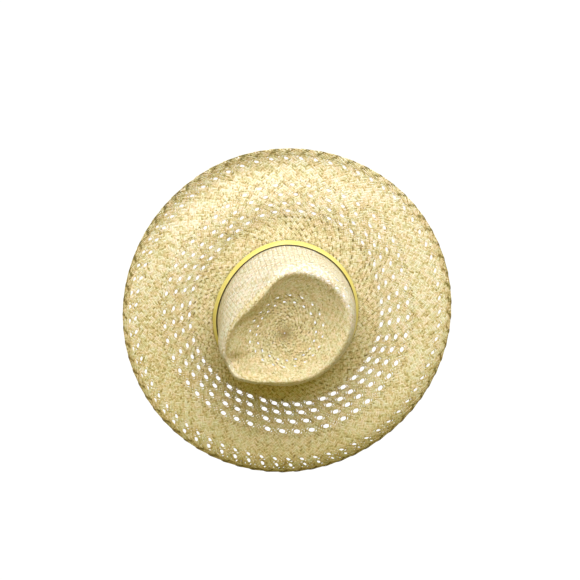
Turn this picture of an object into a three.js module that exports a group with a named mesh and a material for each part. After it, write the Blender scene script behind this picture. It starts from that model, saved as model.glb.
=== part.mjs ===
// A wide-brimmed straw hat with a pinched teardrop crown, openwork rings and a narrow leather band.
// Millimetres, +Z up. The hat lies on the plane z = 0 and its front points to -Y.
import * as THREE from "three";

// ---- Driving sizes ------------------------------------------------------------------------------
const STRAW = 2; // thickness of the woven straw
const EDGE_STRAW = 3; // thickness of the back-woven edge
const GAP = 0.3; // clearance between pieces that touch

// Head line, outside the straw, where the crown rises from the brim; "turn" is in degrees from +X.
const HEAD_LINE = [
  { turn: 0, radius: 89 },
  { turn: 30, radius: 89.8 },
  { turn: 60, radius: 91 },
  { turn: 90, radius: 92.4 },
  { turn: 116, radius: 93.4 },
  { turn: 145, radius: 94.4 },
  { turn: 165, radius: 92.5 },
  { turn: 182, radius: 90 },
  { turn: 200, radius: 89 },
  { turn: 218, radius: 90.1 },
  { turn: 240, radius: 93.4 },
  { turn: 263, radius: 95.5 },
  { turn: 292, radius: 94.3 },
  { turn: 326, radius: 91 },
];

const FILLET = 4; // radius of the turn from brim to crown, on the upper side
const HEAD_LINE_HEIGHT = STRAW + FILLET; // where the brim ends and the crown begins

const BRIM_RADIUS = 218.5; // of the even disc on which the brim's rings are set out
const RESTING_RADIUS = 118; // the brim lies flat on the ground inside this radius
const RESTING_STRETCH = 1.012; // the flat part is a little longer from front to back

const CLEFT_ANGLE = -97; // direction of the pinch at the front, in degrees from +X
const DENT_CENTRE_Y = -10; // the weave starts here, on the floor of the dent
const DENT_FLOOR = 79; // height of the dent's floor
// The crown's upright section: how its turning points lie to the foot, the crest and the dent's
// floor. "out" and "drop" are measured from the crest, "share" is a share of the crest's radius.
const WALL = { plumb: 28, waist: 60, waistLean: 0.45 };
const SHOULDER = { out: 8, drop: 17, overhang: 1 };
const RIM = { out: 3.5, drop: 4, inset: 0.5 };
const CREST_TOP = { out: -3 };
const LIP = { out: -12, drop: 9 };
const SLOPE = { share: 0.7, rise: 0.42 };
const DENT_EDGE = { share: 0.5, rise: 3 };
const DENT_FLAT = { share: 0.27 };

const BAND_FACE = 8.8; // width of the leather strip
const BAND_THICKNESS = 1.5;
const BAND_ROUNDING = { width: 0.6, depth: 0.3 }; // the worn outer edges of the strip
const BAND_LEAN = 30; // degrees from upright: the strip's lower edge stands off on the brim
const BAND_CLEARANCE = 0.45; // between the strip's upper edge and the crown

const CROWN_COLUMNS = 60;
const CROWN_CROWDING = 0.45; // how much closer the columns are at the cleft, 0 for even
const BRIM_COLUMNS = 72;
// Rows of the crown along its section: 0 is the head line, 0.5 the crest, 1 the middle of the dent.
const CROWN_ROWS = [0, 0.1, 0.2, 0.3, 0.35, 0.4, 0.45, 0.5, 0.55, 0.6, 0.7, 0.8, 0.9, 1];

// Crest of the crown, going round from the cleft: "turn" is in degrees, anticlockwise from above.
const CREST = [
  { turn: 0, radius: 93, height: 87 },
  { turn: 9, radius: 92.5, height: 94.5 },
  { turn: 22, radius: 82, height: 98 },
  { turn: 38, radius: 70.5, height: 101 },
  { turn: 60, radius: 64, height: 105 },
  { turn: 90, radius: 62, height: 108 },
  { turn: 118, radius: 62.5, height: 109.5 },
  { turn: 140, radius: 67, height: 110 },
  { turn: 160, radius: 74, height: 110 },
  { turn: 182, radius: 80, height: 110.5 },
  { turn: 205, radius: 83, height: 111.5 },
  { turn: 228, radius: 84, height: 112 },
  { turn: 244, radius: 82, height: 111.5 },
  { turn: 258, radius: 75.5, height: 111 },
  { turn: 272, radius: 67.5, height: 110 },
  { turn: 288, radius: 64, height: 108.5 },
  { turn: 306, radius: 68, height: 105.5 },
  { turn: 324, radius: 77, height: 101.5 },
  { turn: 340, radius: 86, height: 98 },
  { turn: 351, radius: 92.5, height: 94.5 },
];

// Height of the brim's upper side above its flat part, at three radii of the even disc, and "reach",
// the true distance of its edge from the middle, for directions from +X.
const WAVE_RADII = { middle: 152, shoulder: 194 };
const WAVE_LEAD_IN = 20; // the wave leaves the flat part as if it had run level for this long
const BISECTIONS = 24; // halvings used to find a radius on the wave's curve
const WAVES = [
  { turn: 0, middle: 7, shoulder: 17, edge: 5, reach: 223 },
  { turn: 30, middle: 5, shoulder: 12, edge: 6, reach: 222 },
  { turn: 70, middle: 2, shoulder: 6, edge: 8, reach: 222.6 },
  { turn: 100, middle: 2, shoulder: 5, edge: 9, reach: 223.2 },
  { turn: 130, middle: 4, shoulder: 4, edge: 11, reach: 222.3 },
  { turn: 165, middle: 8, shoulder: 4, edge: 18, reach: 222 },
  { turn: 190, middle: 7, shoulder: 4, edge: 18, reach: 218.9 },
  { turn: 215, middle: 4, shoulder: 5, edge: 11, reach: 217 },
  { turn: 250, middle: 3, shoulder: 6, edge: 8, reach: 218.8 },
  { turn: 285, middle: 3, shoulder: 9, edge: 7, reach: 223 },
  { turn: 322, middle: 6, shoulder: 19, edge: 6, reach: 225.5 },
];

// Rings of the brim from the edge inwards. "every" is how many columns lie between two openings in
// the ring of cells inside that radius (0 for none), "shift" the column of the first one.
const BRIM_RINGS = [
  { radius: BRIM_RADIUS, thickness: EDGE_STRAW, every: 0, shift: 0 },
  { radius: 213, thickness: EDGE_STRAW, every: 0, shift: 0 },
  { radius: 209, thickness: STRAW, every: 2, shift: 0 },
  { radius: 197, thickness: STRAW, every: 0, shift: 0 },
  { radius: 187, thickness: STRAW, every: 0, shift: 0 },
  { radius: 174, thickness: STRAW, every: 0, shift: 0 },
  { radius: 161, thickness: STRAW, every: 2, shift: 0 },
  { radius: 145, thickness: STRAW, every: 2, shift: 1 },
  { radius: 129, thickness: STRAW, every: 0, shift: 0 },
  { radius: RESTING_RADIUS, thickness: STRAW, every: 0, shift: 0 },
];
const BRIM_OPENING = { halfAcross: 0.36, halfAlong: 0.26, slant: 0.08 }; // as shares of a cell

// Openings round the crown's wall, just below the crest.
const CROWN_OPENING = { row: 3, every: 5, halfAcross: 0.3, halfAlong: 0.28, slant: 0.05 };

// ---- Finishes -----------------------------------------------------------------------------------
const straw = new THREE.MeshStandardMaterial({ color: 0xd9cb93, roughness: 0.75, metalness: 0 });
const leather = new THREE.MeshStandardMaterial({ color: 0xe8cf4e, roughness: 0.5, metalness: 0 });

// ---- Helpers ------------------------------------------------------------------------------------
const radians = THREE.MathUtils.degToRad;

// Smooth value of one column of a table whose rows go once round the hat.
function around(table, column, degrees) {
  const turn = THREE.MathUtils.euclideanModulo(degrees, 360);
  const count = table.length;
  const row = (index) => {
    const lap = Math.floor(index / count);
    const entry = table[index - lap * count];
    return { at: entry.turn + 360 * lap, value: entry[column] };
  };
  let index = count - 1;
  while (index > 0 && table[index].turn > turn) index -= 1;
  const [before, from, to, after] = [row(index - 1), row(index), row(index + 1), row(index + 2)];
  const span = to.at - from.at;
  const share = (turn - from.at) / span;
  const leaving = ((to.value - before.value) / (to.at - before.at)) * span;
  const arriving = ((after.value - from.value) / (after.at - from.at)) * span;
  const cubic = 2 * share ** 3 - 3 * share ** 2;
  return (
    (cubic + 1) * from.value - cubic * to.value
    + (share ** 3 - 2 * share ** 2 + share) * leaving + (share ** 3 - share ** 2) * arriving
  );
}

// Radius of the head line in a direction given in radians from +X.
const headRadius = (angle) => around(HEAD_LINE, "radius", THREE.MathUtils.radToDeg(angle));

// A closed shell between an outer skin and the same skin set back by its thickness. Columns go round
// the hat, rows go from the lower or outer rim towards the middle. With a pole the last row is one
// point; otherwise it is a second rim. Cells named by opening(column, row) get a lozenge hole.
function shell({ columns, rows, pointAt, thicknessAt, pole, opening }) {
  const outer = [];
  const inner = [];
  const wrap = (column) => THREE.MathUtils.euclideanModulo(column, columns);
  const grid = [];
  for (let row = 0; row <= rows; row += 1) {
    grid.push(Array.from({ length: columns }, (_, column) => pointAt(column, row)));
  }
  for (let row = 0; row <= rows; row += 1) {
    for (let column = 0; column < columns; column += 1) {
      const round = grid[row][wrap(column + 1)].clone().sub(grid[row][wrap(column - 1)]);
      const inward = grid[Math.min(row + 1, rows)][column].clone()
        .sub(grid[Math.max(row - 1, 0)][column]);
      const normal = round.cross(inward).normalize();
      if (pole && row === rows) normal.set(0, 0, 1);
      outer.push(grid[row][column]);
      inner.push(grid[row][column].clone().addScaledVector(normal, -thicknessAt(row)));
    }
  }
  const lastOuter = outer.length;
  const triangles = [];
  const openingPoints = [];
  const id = (column, row) => (
    pole && row === rows ? row * columns : row * columns + wrap(column)
  );
  // Both skins share one numbering: the inner point of n is n + lastOuter.
  const face = (a, b, c) => {
    if (a === b || b === c || c === a) return;
    triangles.push(a, b, c, a + lastOuter, c + lastOuter, b + lastOuter);
  };
  const wall = (a, b) => triangles.push(
    a, b, b + lastOuter, a, b + lastOuter, a + lastOuter,
  );
  const holes = [];
  for (let row = 0; row < rows; row += 1) {
    for (let column = 0; column < columns; column += 1) {
      const corners = [
        id(column, row), id(column + 1, row), id(column + 1, row + 1), id(column, row + 1),
      ];
      const shape = opening(column, row);
      if (shape) holes.push({ corners, shape });
      else {
        face(corners[0], corners[1], corners[2]);
        face(corners[0], corners[2], corners[3]);
      }
    }
  }
  for (let column = 0; column < columns; column += 1) {
    wall(id(column + 1, 0), id(column, 0));
    if (!pole) wall(id(column, rows), id(column + 1, rows));
  }
  // Hole corners come after both skins, outer and inner alternating.
  const skins = [...outer, ...inner];
  for (const { corners, shape } of holes) {
    const lozenge = [
      [0.5 - shape.slant, 0.5 - shape.halfAlong], [0.5 + shape.halfAcross, 0.5],
      [0.5 + shape.slant, 0.5 + shape.halfAlong], [0.5 - shape.halfAcross, 0.5],
    ];
    const rim = lozenge.map(([u, v]) => {
      const pair = [0, lastOuter].map((skin) => {
        const [a, b, c, d] = corners.map((corner) => skins[corner + skin]);
        const low = a.clone().lerp(b, u);
        const high = d.clone().lerp(c, u);
        openingPoints.push(low.lerp(high, v));
        return skins.length + openingPoints.length - 1;
      });
      return { outer: pair[0], inner: pair[1] };
    });
    for (let side = 0; side < 4; side += 1) {
      const next = (side + 1) % 4;
      const [a, b] = [corners[side], corners[next]];
      const [near, far] = [rim[side], rim[next]];
      triangles.push(a, b, near.outer, b, far.outer, near.outer);
      triangles.push(a + lastOuter, near.inner, b + lastOuter);
      triangles.push(b + lastOuter, near.inner, far.inner);
      triangles.push(near.outer, far.outer, far.inner, near.outer, far.inner, near.inner);
    }
  }
  return solid([...skins, ...openingPoints], triangles);
}

function solid(points, triangles) {
  const geometry = new THREE.BufferGeometry();
  geometry.setAttribute("position", new THREE.Float32BufferAttribute(
    points.flatMap((point) => point.toArray()), 3,
  ));
  geometry.setIndex(triangles);
  return geometry;
}

// ---- Crown --------------------------------------------------------------------------------------
// Columns are closer together near the cleft, where the crest turns sharply.
function crownAngle(column) {
  const turn = (2 * Math.PI * column) / CROWN_COLUMNS;
  return radians(CLEFT_ANGLE) + turn - CROWN_CROWDING * Math.sin(turn);
}

// Upright section of the crown in one direction, from the head line over the crest to the middle of
// the dent: x is the distance from the middle, y the height.
function crownSection(angle) {
  const turn = THREE.MathUtils.radToDeg(angle) - CLEFT_ANGLE;
  const foot = headRadius(angle);
  const crest = around(CREST, "radius", turn);
  const top = around(CREST, "height", turn);
  const depth = top - DENT_FLOOR;
  const shoulder = Math.min(crest + SHOULDER.out, foot + SHOULDER.overhang);
  const section = [
    [foot, HEAD_LINE_HEIGHT + GAP],
    [foot, WALL.plumb],
    [foot + WALL.waistLean * (shoulder - foot), WALL.waist],
    [shoulder, top - SHOULDER.drop],
    [Math.min(crest + RIM.out, foot - RIM.inset), top - RIM.drop],
    [crest + CREST_TOP.out, top],
    [crest + LIP.out, top - LIP.drop],
    [crest * SLOPE.share, DENT_FLOOR + SLOPE.rise * depth],
    [crest * DENT_EDGE.share, DENT_FLOOR + DENT_EDGE.rise],
    [crest * DENT_FLAT.share, DENT_FLOOR],
    [0, DENT_FLOOR],
  ];
  const curve = new THREE.SplineCurve(section.map(([x, y]) => new THREE.Vector2(x, y)));
  return CROWN_ROWS.map((share) => {
    const place = curve.getPoint(share);
    // The floor of the dent is centred a little forward of the head oval.
    const forward = DENT_CENTRE_Y * (1 - Math.min(1, place.x / crest) ** 3);
    return new THREE.Vector3(
      place.x * Math.cos(angle), place.x * Math.sin(angle) + forward, place.y,
    );
  });
}

function crownGeometry() {
  const sections = Array.from({ length: CROWN_COLUMNS }, (_, column) => (
    crownSection(crownAngle(column))
  ));
  return shell({
    columns: CROWN_COLUMNS,
    rows: CROWN_ROWS.length - 1,
    pole: true,
    thicknessAt: () => STRAW,
    opening: (column, row) => (
      row === CROWN_OPENING.row && column % CROWN_OPENING.every === 0 ? CROWN_OPENING : null
    ),
    pointAt: (column, row) => sections[column][row],
  });
}

// ---- Brim ---------------------------------------------------------------------------------------
// Height of the brim's upper side at a radius measured on the even disc.
function brimHeight(radius, degrees) {
  if (radius <= RESTING_RADIUS) return STRAW;
  const stations = [
    new THREE.Vector2(RESTING_RADIUS - WAVE_LEAD_IN, 0),
    new THREE.Vector2(RESTING_RADIUS, 0),
    new THREE.Vector2(WAVE_RADII.middle, around(WAVES, "middle", degrees)),
    new THREE.Vector2(WAVE_RADII.shoulder, around(WAVES, "shoulder", degrees)),
    new THREE.Vector2(BRIM_RADIUS, around(WAVES, "edge", degrees)),
  ];
  const curve = new THREE.SplineCurve(stations);
  let [low, high] = [0, 1];
  for (let step = 0; step < BISECTIONS; step += 1) {
    const middle = (low + high) / 2;
    if (curve.getPoint(middle).x < radius) low = middle;
    else high = middle;
  }
  return STRAW + curve.getPoint(low).y;
}

// Point of the brim's upper side, its ring spread from the even disc to the reach in that direction.
function brimPoint(radius, angle) {
  const degrees = THREE.MathUtils.radToDeg(angle);
  const rest = RESTING_RADIUS * Math.hypot(Math.cos(angle), RESTING_STRETCH * Math.sin(angle));
  const share = (radius - RESTING_RADIUS) / (BRIM_RADIUS - RESTING_RADIUS);
  const distance = rest + share * (around(WAVES, "reach", degrees) - rest);
  return new THREE.Vector3(
    distance * Math.cos(angle),
    distance * Math.sin(angle),
    brimHeight(radius, degrees),
  );
}

function brimGeometry() {
  const fillet = [90, 60, 30, 0].map(radians); // the turn up to the head line, from flat to upright
  const rings = BRIM_RINGS.length;
  return shell({
    columns: BRIM_COLUMNS,
    rows: rings + fillet.length - 1,
    pole: false,
    thicknessAt: (row) => (row < rings ? BRIM_RINGS[row].thickness : STRAW),
    opening: (column, row) => {
      const ring = BRIM_RINGS[row];
      const open = ring && ring.every > 0 && column % ring.every === ring.shift;
      return open ? BRIM_OPENING : null;
    },
    pointAt: (column, row) => {
      const angle = (2 * Math.PI * column) / BRIM_COLUMNS;
      if (row < rings) return brimPoint(BRIM_RINGS[row].radius, angle);
      const bend = fillet[row - rings];
      const radius = headRadius(angle) + FILLET - FILLET * Math.cos(bend);
      return new THREE.Vector3(
        radius * Math.cos(angle),
        radius * Math.sin(angle),
        HEAD_LINE_HEIGHT - FILLET * Math.sin(bend),
      );
    },
  });
}

// ---- Band ---------------------------------------------------------------------------------------
// The strip leans against the foot of the crown, its lower edge out on the brim.
function bandGeometry() {
  const lean = radians(BAND_LEAN);
  const out = new THREE.Vector2(Math.cos(lean), Math.sin(lean)); // square to the strip's face
  const up = new THREE.Vector2(-Math.sin(lean), Math.cos(lean)); // along the face
  const foot = new THREE.Vector2(BAND_FACE * Math.sin(lean) + BAND_CLEARANCE, STRAW + GAP);
  const roundedDepth = BAND_THICKNESS - BAND_ROUNDING.depth;
  const section = [
    { rise: 0, depth: 0 },
    { rise: BAND_ROUNDING.width, depth: roundedDepth },
    { rise: BAND_FACE / 2, depth: BAND_THICKNESS },
    { rise: BAND_FACE - BAND_ROUNDING.width, depth: roundedDepth },
    { rise: BAND_FACE, depth: 0 },
  ].map(({ rise, depth }) => foot.clone().addScaledVector(up, rise).addScaledVector(out, depth));
  const points = [];
  const triangles = [];
  const count = section.length;
  for (let column = 0; column < BRIM_COLUMNS; column += 1) {
    const angle = (2 * Math.PI * column) / BRIM_COLUMNS;
    for (const corner of section) {
      const radius = headRadius(angle) + corner.x;
      points.push(new THREE.Vector3(radius * Math.cos(angle), radius * Math.sin(angle), corner.y));
    }
    for (let side = 0; side < count; side += 1) {
      const here = column * count;
      const there = ((column + 1) % BRIM_COLUMNS) * count;
      const next = (side + 1) % count;
      triangles.push(here + side, there + side, there + next, here + side, there + next, here + next);
    }
  }
  return solid(points, triangles);
}

// ---- Assembly -----------------------------------------------------------------------------------
function piece(name, geometry, material) {
  const mesh = new THREE.Mesh(geometry, material);
  mesh.name = name;
  return mesh;
}

const hat = new THREE.Group();
hat.add(piece("brim", brimGeometry(), straw));
hat.add(piece("crown", crownGeometry(), straw));
hat.add(piece("hat_band", bandGeometry(), leather));

export default hat;
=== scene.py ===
"""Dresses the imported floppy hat: woven straw strands, openwork rows, a back-woven edge and a band."""

import logging
import math
from dataclasses import dataclass
from dataclasses import field
from enum import Enum
from typing import Callable
from typing import NamedTuple

import bpy
import numpy as np
from mathutils import Matrix
from mathutils import Vector


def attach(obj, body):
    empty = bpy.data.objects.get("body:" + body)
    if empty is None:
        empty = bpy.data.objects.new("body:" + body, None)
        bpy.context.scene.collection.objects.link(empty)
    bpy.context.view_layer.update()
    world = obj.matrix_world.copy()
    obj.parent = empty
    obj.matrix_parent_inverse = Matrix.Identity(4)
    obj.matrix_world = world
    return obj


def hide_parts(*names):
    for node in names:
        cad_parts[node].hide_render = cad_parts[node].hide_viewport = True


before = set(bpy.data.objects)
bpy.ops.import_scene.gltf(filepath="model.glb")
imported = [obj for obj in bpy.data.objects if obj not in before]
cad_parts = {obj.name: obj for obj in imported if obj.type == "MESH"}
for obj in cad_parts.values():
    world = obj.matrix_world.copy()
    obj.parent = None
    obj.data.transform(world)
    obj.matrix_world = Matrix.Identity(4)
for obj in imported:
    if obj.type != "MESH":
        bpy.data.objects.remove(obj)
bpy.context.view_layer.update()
LOG = logging.getLogger("floppy_hat")

MM = 0.001  # metres in a millimetre: the hat's sizes below are in millimetres
TURN = 2 * math.pi
TINY = 1e-9  # keeps a division from failing
CURVE_STEPS = 40  # points on each stretch of a section's curve
GRAIN_SPREAD = 997.0  # parts the patterns of any two strands
LANES = 6  # strips side by side on the baking map
Triple = tuple[float, float, float]
Colour = Triple
Stops = tuple[tuple[float, Colour], ...]  # places from 0 to 1 and their colours
WHITE = (1.0, 1.0, 1.0)

# ---- Driving sizes of the hat ---------------------------------------------------------------------
STRAW = 2.0  # thickness of the woven straw
GAP = 0.3  # between two pieces that meet
FILLET = 4.0  # radius of the turn from the brim up to the crown
HEAD_LINE_HEIGHT = STRAW + FILLET
BRIM_RADIUS = 218.5  # of the even disc on which the brim's rings are set out
RESTING_RADIUS = 118.0  # inside this the brim lies flat on the ground
RESTING_STRETCH = 1.012  # the flat part is a little longer from front to back
CLEFT_ANGLE = -97.0  # direction of the crown's pinch, in degrees from +X
DENT_CENTRE_Y = -10.0
DENT_FLOOR = 79.0


class HeadRow(NamedTuple):
    """One direction of the head line, in degrees from +X, and its radius."""

    turn: float
    radius: float


class CrestRow(NamedTuple):
    """One direction of the crown's crest, in degrees on from the pinch."""

    turn: float
    radius: float
    height: float


class WaveRow(NamedTuple):
    """Heights of the brim over its flat part at three radii and its reach, in one direction from +X."""

    turn: float
    middle: float
    shoulder: float
    edge: float
    reach: float


class PullRow(NamedTuple):
    """How far the brim's weave is pulled outwards at its two belts, in one direction from +X."""

    turn: float
    inner: float
    outer: float


HEAD_LINE = (
    HeadRow(0, 89), HeadRow(30, 89.8), HeadRow(60, 91), HeadRow(90, 92.4), HeadRow(116, 93.4),
    HeadRow(145, 94.4), HeadRow(165, 92.5), HeadRow(182, 90), HeadRow(200, 89),
    HeadRow(218, 90.1), HeadRow(240, 93.4), HeadRow(263, 95.5), HeadRow(292, 94.3),
    HeadRow(326, 91),
)
CREST = (
    CrestRow(0, 93, 87), CrestRow(9, 92.5, 94.5), CrestRow(22, 82, 98), CrestRow(38, 70.5, 101),
    CrestRow(60, 64, 105), CrestRow(90, 62, 108), CrestRow(118, 62.5, 109.5),
    CrestRow(140, 67, 110), CrestRow(160, 74, 110), CrestRow(182, 80, 110.5),
    CrestRow(205, 83, 111.5), CrestRow(228, 84, 112), CrestRow(244, 82, 111.5),
    CrestRow(258, 75.5, 111), CrestRow(272, 67.5, 110), CrestRow(288, 64, 108.5),
    CrestRow(306, 68, 105.5), CrestRow(324, 77, 101.5), CrestRow(340, 86, 98),
    CrestRow(351, 92.5, 94.5),
)
WAVES = (
    WaveRow(0, 7, 17, 5, 223), WaveRow(30, 5, 12, 6, 222), WaveRow(70, 2, 6, 8, 222.6),
    WaveRow(100, 2, 5, 9, 223.2), WaveRow(130, 4, 4, 11, 222.3), WaveRow(165, 8, 4, 18, 222),
    WaveRow(190, 7, 4, 18, 218.9), WaveRow(215, 4, 5, 11, 217), WaveRow(250, 3, 6, 8, 218.8),
    WaveRow(285, 3, 9, 7, 223), WaveRow(322, 6, 19, 6, 225.5),
)
PULLS = (
    PullRow(0, 0.8, -0.5), PullRow(40, 0, 0), PullRow(65, -1.5, 0), PullRow(76, -0.5, 0.5),
    PullRow(86, 5.5, 1), PullRow(98, 8.5, 3.5), PullRow(112, 10, 4.5), PullRow(148, 10, 3),
    PullRow(160, 8, 2), PullRow(172, 3, 0), PullRow(188, -2.5, -1.5), PullRow(210, 0, -2.5),
    PullRow(235, 0.5, -1), PullRow(260, -1, 0), PullRow(285, -2.5, -3), PullRow(305, -5, -8),
    PullRow(320, -2.5, -8), PullRow(338, 0.3, -5), PullRow(350, 1, -3),
)


def around(table: tuple, column: str, degrees: np.ndarray) -> np.ndarray:
    """Reads one column of a table whose rows go once round the hat, smoothly.

    Args:
        table: Rows with a field "turn" in degrees, from 0 up.
        column: The field to read.
        degrees: Directions to read it in.

    Returns:
        The smooth values, one for each direction.
    """
    turns = np.array([row.turn for row in table], float)
    values = np.array([getattr(row, column) for row in table], float)
    turns = np.concatenate([turns[-2:] - 360, turns, turns[:2] + 360])
    values = np.concatenate([values[-2:], values, values[:2]])
    place = np.mod(degrees, 360.0)
    at = np.clip(np.searchsorted(turns, place, side="right") - 1, 1, len(turns) - 3)
    span = turns[at + 1] - turns[at]
    share = (place - turns[at]) / span
    leaving = (values[at + 1] - values[at - 1]) / (turns[at + 1] - turns[at - 1]) * span
    arriving = (values[at + 2] - values[at]) / (turns[at + 2] - turns[at]) * span
    cubic = 3 * share**2 - 2 * share**3
    return (
        (1 - cubic) * values[at] + cubic * values[at + 1]
        + (share**3 - 2 * share**2 + share) * leaving + (share**3 - share**2) * arriving
    )


def head_radius(angle: np.ndarray) -> np.ndarray:
    """Radius of the head line in directions given in radians from +X."""
    return around(HEAD_LINE, "radius", np.degrees(angle))


def smooth_line(stations: np.ndarray, steps: int) -> np.ndarray:
    """Runs a smooth curve through stations, evenly in the stations' own numbering.

    Args:
        stations: Array of shape (..., stations, 2).
        steps: Points laid on each stretch between two stations.

    Returns:
        Array of shape (..., points, 2).
    """
    padded = np.concatenate([stations[..., :1, :], stations, stations[..., -1:, :]], axis=-2)
    count = stations.shape[-2] - 1
    share = np.arange(steps)[:, None] / steps
    pieces = []
    for index in range(count):
        a, b, c, d = (padded[..., index + k, :][..., None, :] for k in range(4))
        pieces.append(0.5 * (
            2 * b + (c - a) * share + (2 * a - 5 * b + 4 * c - d) * share**2
            + (3 * b - a - 3 * c + d) * share**3
        ))
    pieces.append(stations[..., -1:, :])
    return np.concatenate(pieces, axis=-2)


def unit(vectors: np.ndarray) -> np.ndarray:
    """Vectors of length one along the given ones."""
    return vectors / np.maximum(np.linalg.norm(vectors, axis=2, keepdims=True), TINY)


def eased(share: np.ndarray) -> np.ndarray:
    """A share from 0 to 1 that starts and ends gently."""
    return share * share * (3 - 2 * share)


def lengths(lines: np.ndarray) -> np.ndarray:
    """Lengths run along several lines of points, an array (lines, points, 3)."""
    steps = np.linalg.norm(np.diff(lines, axis=1), axis=2)
    return np.concatenate([np.zeros((len(lines), 1)), np.cumsum(steps, axis=1)], axis=1)


def laid_round(angle: np.ndarray, radius: np.ndarray, height: np.ndarray) -> np.ndarray:
    """Points from directions in radians and, for each of them, a row of radii and heights."""
    return np.stack([radius * np.cos(angle)[:, None], radius * np.sin(angle)[:, None], height], axis=2)


def ring_at(rings: np.ndarray, distance: float) -> int:
    """Finds the ring nearest to a distance."""
    return int(np.argmin(np.abs(rings - distance)))


class Cloth:
    """A woven surface: the middle of the straw over a grid of directions and distances."""

    DIRECTIONS = 720
    INSIDE = 1.001  # keeps a place between the last two columns

    def __init__(self, points: np.ndarray, start: float, step: float) -> None:
        """Keeps the grid and works out its normals.

        Args:
            points: Array (directions, distances, 3) on the outer skin of the straw, in millimetres.
            start: Distance of the first column of points.
            step: Distance from one to the next.
        """
        self.start = start
        self.step = step
        sideways = np.roll(points, -1, axis=0) - np.roll(points, 1, axis=0)
        self.normals = unit(np.cross(np.gradient(points, axis=1), sideways))
        self.points = points - self.normals * (STRAW / 2)
        chords = np.linalg.norm(np.roll(points, -1, axis=0) - points, axis=2)
        self.girths = chords.sum(axis=0)

    @classmethod
    def directions(cls) -> np.ndarray:
        """The grid's directions, in radians from +X."""
        return TURN * np.arange(cls.DIRECTIONS) / cls.DIRECTIONS

    def girth(self, distance: float) -> float:
        """Length once round the cloth at a distance."""
        columns = self.start + self.step * np.arange(self.points.shape[1])
        return float(np.interp(distance, columns, self.girths))

    def at(self, angle: np.ndarray, distance: np.ndarray) -> tuple[np.ndarray, np.ndarray]:
        """Finds places on the cloth.

        Args:
            angle: Directions in radians from +X.
            distance: Distances, of the same shape.

        Returns:
            Points and unit normals, each with a last axis of three.
        """
        count, columns = self.points.shape[:2]
        turn = np.mod(angle / TURN * count, count)
        left = np.floor(turn).astype(int) % count
        right = (left + 1) % count
        across = (turn - np.floor(turn))[..., None]
        reach = np.clip((distance - self.start) / self.step, 0, columns - self.INSIDE)
        near = np.floor(reach).astype(int)
        along = (reach - near)[..., None]

        def blend(grid: np.ndarray) -> np.ndarray:
            """Mixes the four grid values round each place.

            Args:
                grid: Values on the grid, with a last axis of three.

            Returns:
                One value for each place.
            """
            inner = grid[left, near] * (1 - across) + grid[right, near] * across
            outer = grid[left, near + 1] * (1 - across) + grid[right, near + 1] * across
            return inner * (1 - along) + outer * along

        return blend(self.points), blend(self.normals)


@dataclass
class BrimForm:
    """The wavy disc of the brim with the turn up to the head line."""

    flat_start: float = 98.0  # distance at which the turn up to the crown begins
    wave_middle: float = 152.0  # distances at which the waves' middle and shoulder heights hold
    wave_shoulder: float = 194.0
    lead_in: float = 20.0  # level stretch that sets the waves off smoothly
    step: float = 0.5

    def cloth(self) -> Cloth:
        """Lays the brim's grid out.

        Returns:
            The brim as a cloth, its distance being the radius wherever it is not near the head line.
        """
        turn_up = FILLET * math.pi / 2
        start = self.flat_start - turn_up
        columns = int(round((BRIM_RADIUS - start) / self.step)) + 1
        distance = start + self.step * np.arange(columns)
        angle = Cloth.directions()
        head = head_radius(angle)[:, None]
        bend = np.clip((distance - start) / turn_up, 0, 1)[None, :] * math.pi / 2
        rest = RESTING_RADIUS * np.hypot(np.cos(angle), RESTING_STRETCH * np.sin(angle))[:, None]
        reach = around(WAVES, "reach", np.degrees(angle))[:, None]
        inner = np.clip((distance - self.flat_start) / (RESTING_RADIUS - self.flat_start), 0, 1)
        outer = (np.maximum(distance, RESTING_RADIUS) - RESTING_RADIUS) / (BRIM_RADIUS - RESTING_RADIUS)
        radius = head + FILLET - FILLET * np.cos(bend)
        radius = radius + inner[None, :] * (rest - head - FILLET) + outer[None, :] * (reach - rest)
        height = HEAD_LINE_HEIGHT - FILLET * np.sin(bend) + self.wave(angle, distance)
        return Cloth(laid_round(angle, radius, height), start, self.step)

    def wave(self, angle: np.ndarray, distance: np.ndarray) -> np.ndarray:
        """Height of the brim over its flat part.

        Args:
            angle: Directions in radians.
            distance: Distances from the middle.

        Returns:
            Array (directions, distances) of heights.
        """
        level = np.zeros_like(angle)
        columns = [(RESTING_RADIUS - self.lead_in, level), (RESTING_RADIUS, level)] + [
            (radius, around(WAVES, column, np.degrees(angle)))
            for radius, column in (
                (self.wave_middle, "middle"), (self.wave_shoulder, "shoulder"), (BRIM_RADIUS, "edge")
            )
        ]
        stations = np.stack([
            np.stack([np.full_like(angle, radius), height], axis=1) for radius, height in columns
        ], axis=1)
        line = smooth_line(stations, CURVE_STEPS)
        heights = np.array([np.interp(distance, row[:, 0], row[:, 1]) for row in line])
        return np.where(distance[None, :] > RESTING_RADIUS, heights, 0)


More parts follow.
